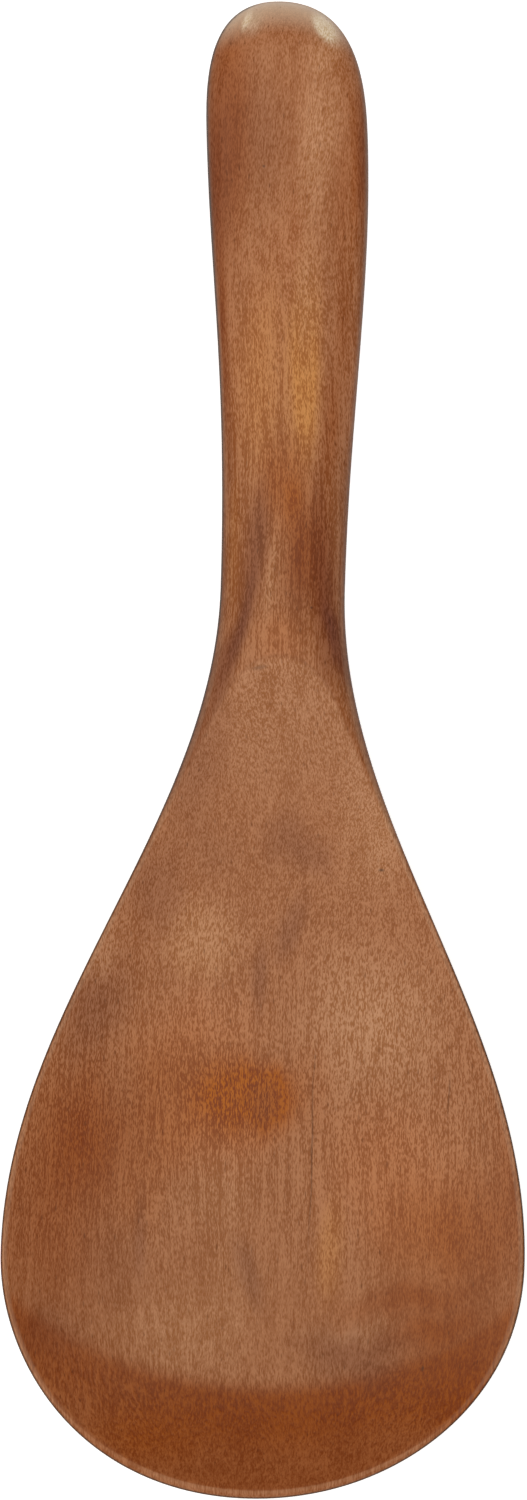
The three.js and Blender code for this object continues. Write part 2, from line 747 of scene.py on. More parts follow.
@dataclass(frozen=True)
class Spot:
    """Where a point of the skin lies, as sockets that the wood's patterns read.

    Attributes:
        place: Object coordinates in millimetres.
        across: Place across the spoon, in millimetres.
        along: Place along the spoon, in millimetres.
        rim: Distance from the outline in millimetres, negative on the back.
        from_edge: The same distance on either side.
        cut: How deep the hollow is cut in millimetres, negative outside it.
        upper: 1 on the upper side and 0 on the back.
    """

    place: Socket
    across: Socket
    along: Socket
    rim: Socket
    from_edge: Socket
    cut: Socket
    upper: Socket

    @classmethod
    def read(cls, bench: NodeBench) -> "Spot":
        """Lays out the nodes that the sockets belong to.

        Args:
            bench: The material's bench.

        Returns:
            The sockets.
        """
        metres = bench.add("ShaderNodeTexCoord", {}).outputs["Object"]
        place = bench.vector("MULTIPLY", metres, (1 / MM, 1 / MM, 1 / MM))
        axes = bench.add("ShaderNodeSeparateXYZ", {0: place}).outputs
        rim = bench.attribute(RIM)
        return cls(
            place=place,
            across=axes["X"],
            along=axes["Y"],
            rim=rim,
            from_edge=bench.absolute(rim),
            cut=bench.attribute(CUT),
            upper=bench.fade(rim, OVER_THE_EDGE),
        )


class Kind(Enum):
    """How a mark lies in the wood."""

    PATCH = "drifts widely"
    THREAD = "keeps to the grain"
    FLECK = "stays in place"


class Tint(Enum):
    """The colours that the wood's figure, and the sheen, highlights and shade painted into it, stray to from
    its common colour, as linear colours.
    """

    ROSY = (0.45, 0.162, 0.064, 1.0)
    GOLD = (0.51, 0.195, 0.050, 1.0)
    PALE = (0.47, 0.208, 0.1, 1.0)
    AMBER = (0.335, 0.071, 0.0003, 1.0)
    DEEP = (0.268, 0.052, 0.002, 1.0)
    DUSKY = (0.175, 0.046, 0.022, 1.0)
    BLACKISH = (0.07, 0.02, 0.01, 1.0)
    # Painted highlight: the pale glints and edges where the finish mirrors a light.
    PAINTED_HIGHLIGHT = (0.74, 0.58, 0.42, 1.0)


@dataclass(frozen=True)
class Mark:
    """A soft patch of the wood's figure or of painted light and shade, or a thread of it.

    Attributes:
        centre: Where it lies, across and along the spoon, in millimetres.
        radii: Its half width and half length in millimetres.
        tint: Which way it strays.
        strength: How strong it is at its middle.
        turn: How far it is turned, in degrees.
        softness: Share of its radii over which it fades.
        steady: Whether it stays in place whatever its size.
    """

    centre: tuple[float, float]
    radii: tuple[float, float]
    tint: Tint
    strength: float
    turn: float = 0.0
    softness: float = 0.9
    steady: bool = False

    @property
    def kind(self) -> Kind:
        """How it lies in the wood, by its size unless it is steady.

        Returns:
            The kind of mark.
        """
        half_width, half_length = self.radii
        if self.steady or half_length < FLECK_LENGTH:
            return Kind.FLECK
        slim = half_width < THREAD_WIDTH or half_length > THREAD_RATIO * half_width
        return Kind.THREAD if slim else Kind.PATCH

    def cover(self, bench: NodeBench, places: dict[Kind, Socket]) -> Socket:
        """How far inside the mark a place is.

        Args:
            bench: The material's bench.
            places: Coordinates for each kind of mark, in millimetres.

        Returns:
            A socket that goes from 0 at the mark's edge to 1 at its middle.
        """
        away = bench.add("ShaderNodeMapping", {
            "Vector": places[self.kind],
            "Location": (*self.centre, MARK_HEIGHT),
            "Rotation": (0.0, 0.0, math.radians(self.turn)),
            "Scale": (*self.radii, MARK_DEPTH),
        }, vector_type="TEXTURE")
        inputs = {"Vector": away.outputs["Vector"]}
        glow = bench.add("ShaderNodeTexGradient", inputs, gradient_type="SPHERICAL")
        return bench.fade(glow.outputs["Fac"], Fade(0.0, self.softness))


@dataclass(frozen=True)
class GrainLayer:
    """One layer of the wood's grain.

    Attributes:
        scale: Features per millimetre along each axis.
        weight: How strong it is at most.
        shares: Pairs of place along the spoon and share of that strength, in order.
        detail: How many layers of finer features ride on it.
        roughness: How strong each of those is.
    """

    scale: tuple[float, float, float]
    weight: float
    shares: tuple[tuple[float, float], ...] = ()
    detail: float = 1.0
    roughness: float = 0.6

    def swing(self, bench: NodeBench, grain: Socket, along: Socket) -> Socket:
        """How light or dark the layer is.

        Args:
            bench: The material's bench.
            grain: Coordinates along the grain, in millimetres.
            along: Place along the spoon, in millimetres.

        Returns:
            A socket with the layer's share of the tone, about zero.
        """
        cells = bench.noise(bench.vector("MULTIPLY", grain, self.scale), self.detail, self.roughness)
        swing = bench.product(bench.math("SUBTRACT", cells.outputs["Fac"], NOISE_MIDDLE), self.weight)
        return bench.product(swing, bench.stations(along, self.shares)) if self.shares else swing


@dataclass(frozen=True)
class Wander:
    """How coordinates wander smoothly from the straight ones.

    Attributes:
        turns: Turns of the wandering per millimetre along each axis.
        reach: How far it goes along each axis, in millimetres, from one side to the other.
        detail: How many layers of finer turns ride on it.
    """

    turns: tuple[float, float, float]
    reach: tuple[float, float, float]
    detail: float = 2.0

    def lead(self, bench: NodeBench, place: Socket) -> Socket:
        """Leads coordinates astray.

        Args:
            bench: The material's bench.
            place: Straight coordinates, in millimetres.

        Returns:
            A socket with the wandering coordinates.
        """
        swing = bench.noise(bench.vector("MULTIPLY", place, self.turns), self.detail).outputs["Color"]
        swing = bench.vector("SUBTRACT", swing, (NOISE_MIDDLE, NOISE_MIDDLE, NOISE_MIDDLE))
        return bench.vector("ADD", place, bench.vector("MULTIPLY", swing, self.reach))


# Painted reflection of the dark camera: the amber patch where the bowl's level floor mirrors no light. Its
# first mark is where the grain is raised.
PAINTED_DARK_REFLECTION = (
    Mark((-3.8, -47.0), (9.4, 8.0), Tint.AMBER, 0.95, softness=0.75),
    Mark((1.0, -47.5), (5.4, 6.8), Tint.AMBER, 0.85),
    Mark((5.5, -45.0), (6.0, 9.0), Tint.AMBER, 0.25),
    Mark((-0.4, -48.0), (3.2, 5.0), Tint.DUSKY, 0.3),
)
# Patches and threads of the bowl and its ramp: the wood's figure, and painted sheen and painted shade where
# the finish mirrors more or less light.
BOWL_FIGURE_AND_PAINTED_LIGHT = (
    Mark((-9.0, -37.5), (13.0, 9.0), Tint.ROSY, 0.7),
    Mark((-7.0, -51.0), (12.0, 9.0), Tint.ROSY, 0.7),
    Mark((17.0, -56.0), (15.0, 15.0), Tint.ROSY, 0.85),
    Mark((-12.0, -41.0), (14.0, 8.0), Tint.AMBER, 0.3),
    Mark((-13.0, -50.0), (9.0, 12.0), Tint.AMBER, 0.5),
    Mark((-17.0, -60.0), (5.0, 8.0), Tint.AMBER, 0.3),
    Mark((16.0, -56.0), (12.0, 12.0), Tint.AMBER, 0.2),
    Mark((21.0, -65.0), (10.0, 11.0), Tint.AMBER, 0.5),
    Mark((27.0, -62.0), (7.0, 13.0), Tint.AMBER, 0.35),
    Mark((26.0, -85.0), (12.0, 8.0), Tint.AMBER, 1.0),
    Mark((-15.0, -91.0), (11.0, 7.0), Tint.AMBER, 0.7),
    # Painted shade: the bowl's left wall, which mirrors no light.
    Mark((-28.0, -51.0), (10.0, 18.0), Tint.AMBER, 0.3),
    Mark((-9.0, -25.5), (8.0, 8.0), Tint.PALE, 0.75),
    Mark((-9.5, -26.0), (6.0, 7.0), Tint.GOLD, 0.4),
    Mark((10.5, -36.0), (9.0, 15.0), Tint.PALE, 0.75),
    Mark((18.0, -36.0), (9.0, 14.0), Tint.PALE, 0.6),
    Mark((12.0, -9.0), (6.0, 12.0), Tint.PALE, 0.6),
    Mark((15.5, -12.0), (4.5, 10.0), Tint.PALE, 0.5),
    Mark((-22.5, -28.5), (2.5, 6.0), Tint.PALE, 0.5, -25.0),
    Mark((-6.0, -60.0), (7.0, 9.0), Tint.PALE, 0.4),
    Mark((-4.0, -71.0), (7.0, 8.0), Tint.PALE, 0.35),
    # Painted sheen along the inner side of the tip's painted shade.
    Mark((-10.0, -78.0), (12.0, 8.0), Tint.PALE, 0.65),
    Mark((13.0, -77.6), (12.0, 1.8), Tint.PALE, 0.4, 8.0),
    Mark((9.0, -67.0), (2.8, 10.0), Tint.GOLD, 0.45),
    Mark((-23.0, -35.5), (6.0, 11.0), Tint.DUSKY, 0.4, -20.0),
    Mark((-16.0, -19.0), (6.0, 9.0), Tint.DUSKY, 0.3),
    Mark((-9.0, -13.0), (7.0, 6.0), Tint.DUSKY, 0.15),
    Mark((2.4, -24.0), (2.4, 7.0), Tint.DUSKY, 0.4, -20.0),
    Mark((1.4, -11.0), (4.5, 6.0), Tint.DUSKY, 0.35),
    Mark((4.8, -14.5), (4.5, 4.5), Tint.DUSKY, 0.35),
    Mark((-1.5, -31.5), (1.8, 8.0), Tint.DUSKY, 0.4, -3.0),
    Mark((-1.8, -70.0), (2.4, 8.0), Tint.DUSKY, 0.4, 20.0),
    Mark((12.5, -80.5), (12.0, 6.0), Tint.DUSKY, 0.45),
    Mark((-20.0, -70.0), (8.0, 10.0), Tint.DUSKY, 0.15),
    Mark((-16.5, -66.0), (1.3, 9.0), Tint.DUSKY, 0.3),
    Mark((-28.0, -79.0), (8.0, 7.0), Tint.DUSKY, 0.3),
    Mark((-10.0, 0.0), (6.0, 16.0), Tint.DUSKY, 0.4, -14.0),
    # Painted shade: the bowl's walls on the left and at the sides of the tip, which mirror no light.
    Mark((-23.0, -51.5), (10.0, 13.0), Tint.DEEP, 0.7),
    Mark((-28.0, -64.0), (13.0, 18.0), Tint.DEEP, 0.5),
    Mark((25.0, -76.5), (12.0, 7.0), Tint.DEEP, 0.5),
    Mark((19.0, -73.0), (13.0, 3.2), Tint.DEEP, 0.6, 10.0),
    Mark((22.0, -78.0), (11.0, 4.5), Tint.DEEP, 0.4, 12.0),
    Mark((28.0, -66.0), (6.0, 14.0), Tint.DEEP, 0.35),
    Mark((33.0, -60.0), (6.0, 22.0), Tint.DEEP, 0.5),
)
# Patches and threads of the neck, the grip and the palm: the wood's figure, and painted sheen, highlights
# and shade.
HANDLE_FIGURE_AND_PAINTED_LIGHT = (
    Mark((0.0, 14.5), (5.0, 5.0), Tint.ROSY, 0.6),
    Mark((-3.5, 52.0), (7.0, 22.0), Tint.ROSY, 0.6),
    Mark((0.0, 68.0), (4.0, 9.0), Tint.ROSY, 0.4),
    # Painted highlights along the handle's right edge, which faces a light.
    Mark((8.4, 50.0), (1.7, 18.0), Tint.ROSY, 0.9, -2.5),
    Mark((7.9, 75.0), (0.8, 12.0), Tint.ROSY, 0.7),
    Mark((2.0, 51.0), (3.4, 21.0), Tint.GOLD, 1.0),
    Mark((2.2, 50.0), (2.2, 15.0), Tint.GOLD, 0.6),
    Mark((-3.5, 49.0), (5.5, 20.0), Tint.GOLD, 0.5),
    Mark((-6.8, 28.0), (1.2, 12.0), Tint.GOLD, 0.3),
    Mark((2.0, 61.0), (2.4, 14.0), Tint.PALE, 0.6),
    Mark((2.5, 81.0), (3.4, 15.0), Tint.PALE, 0.85),
    # Painted sheen and highlight on the palm's right side and towards the corner of the handle's end.
    Mark((3.5, 93.0), (3.8, 5.0), Tint.PALE, 0.9),
    Mark((5.2, 84.0), (2.0, 10.0), Tint.PALE, 0.5),
    Mark((-1.7, 21.0), (1.1, 12.0), Tint.PALE, 0.45, -4.0),
    # Painted shade on the neck's level top, which mirrors the dark camera.
    Mark((-0.5, 35.0), (5.0, 10.0), Tint.AMBER, 0.65),
    Mark((1.0, 32.0), (2.0, 6.0), Tint.AMBER, 0.4),
    Mark((0.0, 14.5), (6.0, 5.0), Tint.AMBER, 0.25),
    # Painted shade on the neck's level top and down its rounded flanks.
    Mark((2.2, 25.0), (4.2, 13.0), Tint.DEEP, 0.75),
    Mark((2.0, 26.0), (2.4, 9.0), Tint.DEEP, 0.25),
    Mark((-3.8, 26.0), (2.5, 14.0), Tint.DEEP, 0.4, -5.0),
    Mark((5.2, 25.0), (2.6, 18.0), Tint.DEEP, 0.6, 4.0),
    Mark((7.2, 14.0), (1.7, 9.0), Tint.DEEP, 0.5, 19.0),
    # Painted shade in a band down the right flank of the grip and the palm.
    Mark((5.6, 44.0), (2.0, 12.0), Tint.DEEP, 0.45),
    Mark((7.0, 58.0), (1.6, 14.0), Tint.DEEP, 0.25),
    Mark((6.2, 73.0), (1.6, 14.0), Tint.DEEP, 0.3),
    Mark((8.8, 79.0), (2.2, 18.0), Tint.DEEP, 0.5),
    Mark((-9.0, 54.0), (1.3, 22.0), Tint.DEEP, 0.6, 4.0),
    Mark((-9.0, 81.0), (4.6, 24.0), Tint.DEEP, 0.8),
    # Painted shade down the neck's rounded flanks.
    Mark((-3.8, 26.0), (2.5, 14.0), Tint.DUSKY, 0.65, -5.0),
    Mark((-5.2, 17.0), (1.6, 10.0), Tint.DUSKY, 0.5, -10.0),
    Mark((-6.8, 12.0), (2.0, 10.0), Tint.DUSKY, 0.6, -16.0),
    Mark((5.4, 22.0), (2.4, 20.0), Tint.DUSKY, 0.6, 4.0),
    Mark((7.2, 14.0), (1.7, 9.0), Tint.DUSKY, 0.6, 19.0),
    Mark((-5.0, 82.0), (6.0, 15.0), Tint.DUSKY, 0.3),
    Mark((8.9, 80.0), (1.8, 14.0), Tint.DUSKY, 0.25),
    Mark((2.6, 22.0), (3.4, 11.0), Tint.DUSKY, 0.25),
    Mark((-10.5, 76.0), (4.0, 22.0), Tint.DUSKY, 0.5),
)
# Two dark lines along the grain, a short line of painted shade at the crease where the hollow runs out, and
# a few specks.
BLEMISHES_AND_CREASE_SHADE = (
    Mark((6.1, -53.0), (0.2, 19.0), Tint.BLACKISH, 0.5),
    Mark((24.3, -46.0), (0.2, 5.0), Tint.BLACKISH, 0.4),
    # Painted shade at the crease where the hollow runs out.
    Mark((-2.8, 10.8), (1.7, 0.5), Tint.BLACKISH, 0.45, 12.0),
    Mark((14.3, -15.7), (0.6, 0.3), Tint.BLACKISH, 0.8),
    Mark((21.8, -82.0), (0.3, 0.5), Tint.BLACKISH, 0.8),
    Mark((3.9, 19.0), (0.3, 0.3), Tint.BLACKISH, 0.8),
    Mark((-4.2, 77.7), (0.3, 0.3), Tint.BLACKISH, 0.8),
)
# Painted highlights: the glints on the corners of the handle's end.
PAINTED_CORNER_GLINTS = (
    Mark((3.6, 96.3), (1.8, 3.4), Tint.PAINTED_HIGHLIGHT, 0.9, 37.0, steady=True),
    Mark((3.1, 96.8), (1.5, 2.8), Tint.PAINTED_HIGHLIGHT, 0.9, 35.0, steady=True),
    Mark((-7.1, 97.2), (0.7, 2.2), Tint.PAINTED_HIGHLIGHT, 0.8, -20.0, steady=True),
    Mark((-6.2, 96.8), (1.7, 2.4), Tint.PAINTED_HIGHLIGHT, 0.25, -20.0, steady=True),
)
# The layers of the grain.
STIPPLE = GrainLayer((6.6, 1.5, 6.6), 8.0, (
    (-98.0, 0.2), (-86.0, 0.22), (-74.0, 0.3), (-60.0, 0.5), (-46.0, 0.8), (-36.0, 0.65), (0.0, 0.43),
    (28.0, 0.64), (52.0, 0.5), (82.0, 0.36),
))
STREAKS = GrainLayer((3.6, 0.11, 3.6), 4.8, (
    (-98.0, 0.4), (-86.0, 0.6), (-74.0, 0.22), (-48.0, 0.62), (-5.0, 0.15), (26.0, 0.85), (52.0, 0.45),
    (82.0, 0.22),
))
BANDS = GrainLayer((0.6, 0.05, 0.6), 1.8, (
    (-98.0, 0.4), (-55.0, 0.6), (-30.0, 0.45), (0.0, 0.35), (25.0, 1.0), (55.0, 0.9), (85.0, 0.4),
))
MOTTLES = GrainLayer((1.3, 0.3, 1.3), 0.5)
CLOUDS = GrainLayer((0.11, 0.03, 0.11), 0.6)


@dataclass(frozen=True)
class PaintedTipShade:
    """Painted shade: the tip darker wherever it lies outside an oval, where its rising wall mirrors no
    light.

    Attributes:
        centre: Middle of the oval, in millimetres.
        radii: Half width and half length of the oval.
        line: How it sets in at the oval, in radii.
        further_out: How it weakens beyond the oval, in radii.
        right: How it weakens to the right, in millimetres.
        left: How it weakens to the left, in millimetres.
        stop: How it stops along the spoon, in millimetres.
    """

    centre: tuple[float, float] = (-0.5, -40.0)
    radii: tuple[float, float] = (49.2, 45.3)
    line: Fade = Fade(0.966, 1.034)
    further_out: Fade = Fade(1.08, 1.24, 1.0, 0.62)
    right: Fade = Fade(16.0, 32.0, 1.0, 0.85)
    left: Fade = Fade(-22.0, -4.0, 0.8, 1.0)
    stop: Fade = Fade(-66.0, -60.0, 1.0, 0.0)

    def strength(self, bench: NodeBench, spot: Spot) -> Socket:
        """How strong the painted shade is.

        Args:
            bench: The material's bench.
            spot: Where the point lies.

        Returns:
            A socket with the strength.
        """
        half_width, half_length = self.radii
        away = bench.vector("SUBTRACT", spot.place, (*self.centre, 0.0))
        radii_out = bench.length(bench.vector("MULTIPLY", away, (1 / half_width, 1 / half_length, 0.0)))
        return bench.product(
            bench.fade(radii_out, self.line),
            bench.fade(radii_out, self.further_out),
            bench.fade(spot.across, self.right),
            bench.fade(spot.across, self.left),
            bench.fade(spot.along, self.stop),
        )


@dataclass(frozen=True)
class RampSheenAndCreaseShade:
    """Painted sheen, paler and greyer, on the hollow's ramp where it climbs the neck, and painted shade
    along the line where it runs out.

    Attributes:
        colour: What the painted sheen multiplies a colour by.
        depth: How the painted sheen shows as the cut gets deeper, in millimetres.
        climb: How it shows along the spoon, in millimetres.
        left: How it weakens to the left, in millimetres.
        crease: How dark the line is, by the cut's depth in millimetres.
        crease_climb: How the line shows along the spoon, in millimetres.
    """

    colour: tuple[float, ...] = (1.09, 1.22, 1.38, 1.0)
    depth: Fade = Fade(-0.05, 0.2)
    climb: Fade = Fade(-12.0, 4.0)
    left: Fade = Fade(-8.0, -4.0, 0.35, 1.0)
    crease: Fade = Fade(0.0, 0.12, 0.2, 0.0)
    crease_climb: Fade = Fade(0.0, 8.0)

    def ramp_sheen_share(self, bench: NodeBench, spot: Spot) -> Socket:
        """How far the painted sheen shows.

        Args:
            bench: The material's bench.
            spot: Where the point lies.

        Returns:
            A socket with the share.
        """
        return bench.product(
            bench.fade(spot.cut, self.depth),
            bench.fade(spot.along, self.climb),
            bench.fade(spot.across, self.left),
            spot.upper,
        )

    def crease_shade_share(self, bench: NodeBench, spot: Spot) -> Socket:
        """How far the painted shade shows along the line where the hollow runs out.

        Args:
            bench: The material's bench.
            spot: Where the point lies.

        Returns:
            A socket with the share.
        """
        return bench.product(
            bench.fade(bench.absolute(spot.cut), self.crease),
            bench.fade(spot.along, self.crease_climb),
            spot.upper,
        )


@dataclass(frozen=True)
class PaintedEdgeHighlights:
    """Painted highlights along edges that face the light: the handle's end, its right edge and the bowl's
    lip.

    Each fade is in millimetres. Those called over keep the painted highlight on the upper side.

    Attributes:
        colour: The painted highlight, linear.
        end: How pale the handle's end is, by the distance from the outline.
        end_over: Where its upper side begins.
        end_along: Where along the spoon it begins.
        side: How pale the handle's edge is, by the distance from the outline.
        side_over: Where its upper side begins.
        side_along: Where along the spoon it begins.
        side_across: How it strengthens to the right.
        lip_outside: How the lip's painted highlight sets in, by the distance from the outline.
        lip_inside: How pale the lip is and how that ends, by the distance from the outline.
        lip_from: Where along the spoon it begins.
        lip_up_to: Where along the spoon it ends.
    """

    colour: tuple[float, ...] = Tint.PAINTED_HIGHLIGHT.value
    end: Fade = Fade(0.0, 5.0, 0.6, 0.0)
    end_over: Fade = Fade(-0.4, 0.2)
    end_along: Fade = Fade(92.5, 98.0)
    side: Fade = Fade(0.1, 0.6, 0.08, 0.0)
    side_over: Fade = Fade(-0.1, 0.1)
    side_along: Fade = Fade(25.0, 50.0)
    side_across: Fade = Fade(-6.0, 4.0, 0.1, 1.0)
    lip_outside: Fade = Fade(0.2, 0.45)
    lip_inside: Fade = Fade(0.7, 1.05, 0.1, 0.0)
    lip_from: Fade = Fade(-92.0, -82.0)
    lip_up_to: Fade = Fade(5.0, 25.0, 1.0, 0.0)

    def share(self, bench: NodeBench, spot: Spot) -> Socket:
        """How far the painted highlight shows.

        Args:
            bench: The material's bench.
            spot: Where the point lies.

        Returns:
            A socket with the share.
        """
        end = bench.product(
            bench.fade(spot.rim, self.end),
            bench.fade(spot.rim, self.end_over),
            bench.fade(spot.along, self.end_along),
        )
        side = bench.product(
            bench.fade(spot.rim, self.side),
            bench.fade(spot.rim, self.side_over),
            bench.fade(spot.along, self.side_along),
            bench.fade(spot.across, self.side_across),
        )
        lip = bench.product(
            bench.fade(spot.from_edge, self.lip_outside),
            bench.fade(spot.from_edge, self.lip_inside),
            bench.fade(spot.along, self.lip_from),
            bench.fade(spot.along, self.lip_up_to),
        )
        return bench.math("MAXIMUM", end, bench.math("MAXIMUM", side, lip))


@dataclass(frozen=True)
class PaintedEdgeShade:
    """Painted shade: a darker line along the outline, where the surface turns away from the light, on the
    bowl, the neck and the handle's left side.

    Each fade is in millimetres.

    Attributes:
        colour: What the line multiplies a colour by.
        width: How it ends, by the distance from the outline.
        bowl: Where along the spoon the bowl's and the neck's line ends.
        left: How strong the line is down the left side, by the place across the spoon.
        right: How much weaker it is down the right side, by the place across the spoon.
        right_from: Where along the spoon that sets in.
    """

    colour: tuple[float, ...] = (0.38, 0.42, 0.45, 1.0)
    width: Fade = Fade(0.1, 0.35, 1.0, 0.0)
    bowl: Fade = Fade(20.0, 45.0, 1.0, 0.0)
    left: Fade = Fade(-7.0, -5.0, 0.8, 0.0)
    right: Fade = Fade(4.0, 8.0, 0.0, 0.7)
    right_from: Fade = Fade(-40.0, -10.0)

    def share(self, bench: NodeBench, spot: Spot) -> Socket:
        """How far the line shows.

        Args:
            bench: The material's bench.
            spot: Where the point lies.

        Returns:
            A socket with the share.
        """
        dark = bench.math("MAXIMUM", bench.fade(spot.along, self.bowl), bench.fade(spot.across, self.left))
        lit = bench.product(bench.fade(spot.across, self.right), bench.fade(spot.along, self.right_from))
        return bench.product(bench.fade(spot.from_edge, self.width), bench.math("SUBTRACT", dark, lit))


@dataclass(frozen=True)
class Pores:
    """Open pores, here and there along the grain.

    Attributes:
        cells: Places for a pore per millimetre along each axis.
        hole: How deep a pore is, by the distance from its middle in cells.
        chance: How deep it is by its lot, so that most cells have none.
        sink: How far a pore lowers the grain's relief.
    """

    cells: tuple[float, float, float] = (2.1, 0.5, 2.1)
    hole: Fade = Fade(0.1, 0.3, 1.0, 0.0)
    chance: Fade = Fade(0.75, 0.95, 0.0, 0.7)
    sink: float = 0.3

    def depth(self, bench: NodeBench, grain: Socket) -> Socket:
        """How deep a pore is at a point.

        Args:
            bench: The material's bench.
            grain: Coordinates along the grain, in millimetres.

        Returns:
            A socket with the depth, 0 outside a pore.
        """
        cells = bench.vector("MULTIPLY", grain, self.cells)
        pores = bench.add("ShaderNodeTexVoronoi", {"Vector": cells, "Scale": 1.0, "Randomness": 1.0}).outputs
        lot = bench.add("ShaderNodeSeparateColor", {0: pores["Color"]}).outputs["Red"]
        return bench.product(bench.fade(pores["Distance"], self.hole), bench.fade(lot, self.chance))


@dataclass(frozen=True)
class OiledWood:
    """Fine-grained reddish wood under a thin clear finish, with sheen, highlights and shade painted into its
    colour.

    Attributes:
        base: The wood's common colour, linear.
        dark_grain: What the darkest grain multiplies a colour by.
        light_grain: What the lightest grain multiplies a colour by.
        shadow: What an open pore or the crease at the neck multiplies a colour by.
        gloss: Tint of what the finish mirrors.
        shine: How much the finish mirrors, where 0.5 is a plain varnish.
        roughness: Of the finish.
        index: Refractive index of the finish.
        relief: How strongly the grain's relief shows.
        relief_depth: How deep that relief is, in millimetres.
        grain: The layers of the grain.
        grain_wander: How the grain strays from a straight line.
        figure: The soft patches of other colour: the wood's figure, and painted sheen, highlights and shade.
        patch_wander: How the edges of wide patches stray.
        thread_wander: How the edges of slim ones stray.
        raised: The first patch of the painted dark reflection, where the grain shows stronger.
        raised_grain: How much stronger the grain is at the middle of that patch.
        lip_width: How far in the lip reaches, by the place along the spoon, in millimetres.
        lip_line: How the deep tint ends at the lip, in millimetres.
        tip_shade: The painted shade on the tip.
        hollow: The painted sheen on the hollow's ramp up the neck and the painted shade along its crease.
        edge_highlights: The painted highlights along the edges.
        edge_shade: The painted shade along the outline.
        pores: The open pores.
    """

    base: tuple[float, ...] = (0.378, 0.138, 0.056, 1.0)
    dark_grain: tuple[float, ...] = (0.76, 0.60, 0.38, 1.0)
    light_grain: tuple[float, ...] = (1.24, 1.40, 1.62, 1.0)
    shadow: tuple[float, ...] = (0.5, 0.4, 0.3, 1.0)
    gloss: tuple[float, ...] = (1.0, 0.93, 0.74, 1.0)
    shine: float = 0.3
    roughness: float = 0.25
    index: float = 1.5
    relief: float = 0.15
    relief_depth: float = 0.1
    grain: tuple[GrainLayer, ...] = (STIPPLE, STREAKS, BANDS, MOTTLES, CLOUDS)
    grain_wander: Wander = Wander((0.03, 0.012, 0.03), (10.0, 0.0, 10.0))
    figure: tuple[Mark, ...] = PAINTED_DARK_REFLECTION + BOWL_FIGURE_AND_PAINTED_LIGHT + HANDLE_FIGURE_AND_PAINTED_LIGHT + BLEMISHES_AND_CREASE_SHADE + PAINTED_CORNER_GLINTS
    patch_wander: Wander = Wander((0.2, 0.08, 0.2), (3.0, 6.0, 0.0))
    thread_wander: Wander = Wander((0.2, 0.08, 0.2), (1.2, 6.0, 0.0))
    raised: Mark = PAINTED_DARK_REFLECTION[0]
    raised_grain: float = 0.5
    lip_width: Fade = Fade(-99.0, -84.0, 1.15, 0.5)
    lip_line: Fade = Fade(-0.1, 0.06)
    tip_shade: PaintedTipShade = PaintedTipShade()
    hollow: RampSheenAndCreaseShade = RampSheenAndCreaseShade()
    edge_highlights: PaintedEdgeHighlights = PaintedEdgeHighlights()
    edge_shade: PaintedEdgeShade = PaintedEdgeShade()
    pores: Pores = Pores()

    def tone(self, bench: NodeBench, grain: Socket, along: Socket) -> Socket:
        """How light the grain is.

        Args:
            bench: The material's bench.
            grain: Coordinates along the grain, in millimetres.
            along: Place along the spoon, in millimetres.

        Returns:
            A socket with the tone, about one half.
        """
        total: Feed = 0.0
        for layer in self.grain:
            total = bench.math("ADD", total, layer.swing(bench, grain, along))
        return bench.math("ADD", total, NOISE_MIDDLE)

    def patches(self, bench: NodeBench, places: dict[Kind, Socket], tint: Tint) -> Feed:
        """How strong one tint of the figure is.

        Args:
            bench: The material's bench.
            places: Coordinates for each kind of mark, in millimetres.
            tint: Which marks to add up.

        Returns:
            A socket with the strength, or 0 where no mark has the tint.
        """
        total: Feed = 0.0
        for mark in self.figure:
            if mark.tint is tint:
                total = bench.math("ADD", total, bench.product(mark.cover(bench, places), mark.strength))
        return total

    def figured(self, bench: NodeBench, spot: Spot, places: dict[Kind, Socket], cut: Socket) -> Feed:
        """The wood's colour before its grain, with the painted sheen, highlights and shade of its marks and
        the painted shade on the tip.

        Args:
            bench: The material's bench.
            spot: Where the point lies.
            places: Coordinates for each kind of mark, in millimetres.
            cut: How far the painted sheen on the hollow's ramp shows, which takes dark tints away.

        Returns:
            A socket with the colour.
        """
        from_lip = bench.math("SUBTRACT", spot.rim, bench.fade(spot.along, self.lip_width))
        uncut = bench.math("SUBTRACT", 1.0, cut)
        shows = {
            Tint.AMBER: uncut,
            Tint.DEEP: bench.fade(from_lip, self.lip_line),
            Tint.DUSKY: uncut,
            Tint.PAINTED_HIGHLIGHT: spot.upper,
        }
        colour: Feed = self.base
        for tint in Tint:
            strength = self.patches(bench, places, tint)
            # The deep tint also carries the painted shade on the tip.
            if tint is Tint.DEEP:
                strength = bench.math("MAXIMUM", strength, self.tip_shade.strength(bench, spot))
            if tint in shows:
                strength = bench.product(strength, shows[tint])
            colour = bench.mix(strength, colour, tint.value)
        return colour

    def material(self) -> bpy.types.Material:
        """Makes the material.

        Returns:
            The wood, as nodes on Object coordinates.
        """
        material = bpy.data.materials.new(SLOT)
        bench = NodeBench(material)
        spot = Spot.read(bench)
        grain = self.grain_wander.lead(bench, spot.place)
        places = {
            Kind.PATCH: self.patch_wander.lead(bench, spot.place),
            Kind.THREAD: self.thread_wander.lead(bench, spot.place),
            Kind.FLECK: spot.place,
        }
        tone = self.tone(bench, grain, spot.along)
        shade = bench.mix(tone, self.dark_grain, self.light_grain)
        raised = bench.product(self.raised.cover(bench, places), self.raised_grain)
